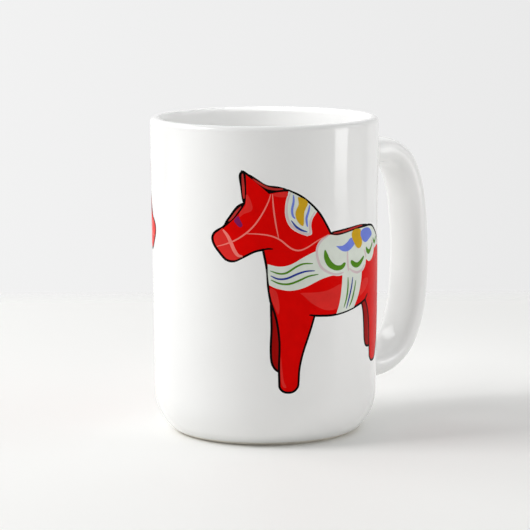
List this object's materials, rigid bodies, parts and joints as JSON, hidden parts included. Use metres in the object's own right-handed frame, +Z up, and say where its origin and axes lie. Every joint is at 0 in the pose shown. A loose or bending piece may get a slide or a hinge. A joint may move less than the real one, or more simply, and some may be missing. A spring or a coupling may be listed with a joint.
{
  "type": "mug with a printed dala horse",
  "caption": "Tall white ceramic mug with a strap handle and a red folk-art horse fired onto each side, for hot drinks.",
  "frame": {"origin": "on the cup's axis, in the plane of the foot ring that stands on the table", "axes": "+Z up out of the mouth, +X towards the handle, one horse faces -Y and its mirror image faces +Y"},
  "size_m": [0.1234, 0.086, 0.119],
  "materials": {
    "bare_clay": "matt fired clay",
    "white_glaze": "glossy white glaze",
    "ink_black": "satin-gloss black colour fired onto the glaze",
    "ink_red": "satin-gloss red colour fired onto the glaze",
    "ink_dark_red": "satin-gloss dark red colour fired onto the glaze",
    "ink_shade_red": "satin-gloss shaded red colour fired onto the glaze",
    "ink_light_red": "satin-gloss light red colour fired onto the glaze",
    "ink_off_white": "satin-gloss off-white colour fired onto the glaze",
    "ink_rose_grey": "satin-gloss rose grey colour fired onto the glaze",
    "ink_pink": "satin-gloss pink colour fired onto the glaze",
    "ink_purple": "satin-gloss purple colour fired onto the glaze",
    "ink_green": "satin-gloss green colour fired onto the glaze",
    "ink_navy": "satin-gloss navy blue colour fired onto the glaze",
    "ink_periwinkle": "satin-gloss periwinkle blue colour fired onto the glaze",
    "ink_ochre": "satin-gloss ochre colour fired onto the glaze"
  },
  "bodies": {
    "root": {"cup_body": "bare_clay", "cup_glaze": "white_glaze", "handle": "white_glaze", "slip_joint_top": "bare_clay", "slip_joint_bottom": "bare_clay", "ink_black": "ink_black", "ink_red": "ink_red", "ink_dark_red": "ink_dark_red", "ink_shade_red": "ink_shade_red", "ink_light_red": "ink_light_red", "ink_off_white": "ink_off_white", "ink_rose_grey": "ink_rose_grey", "ink_pink": "ink_pink", "ink_purple": "ink_purple", "ink_green": "ink_green", "ink_navy": "ink_navy", "ink_periwinkle": "ink_periwinkle", "ink_ochre": "ink_ochre"}
  },
  "joints": []
}
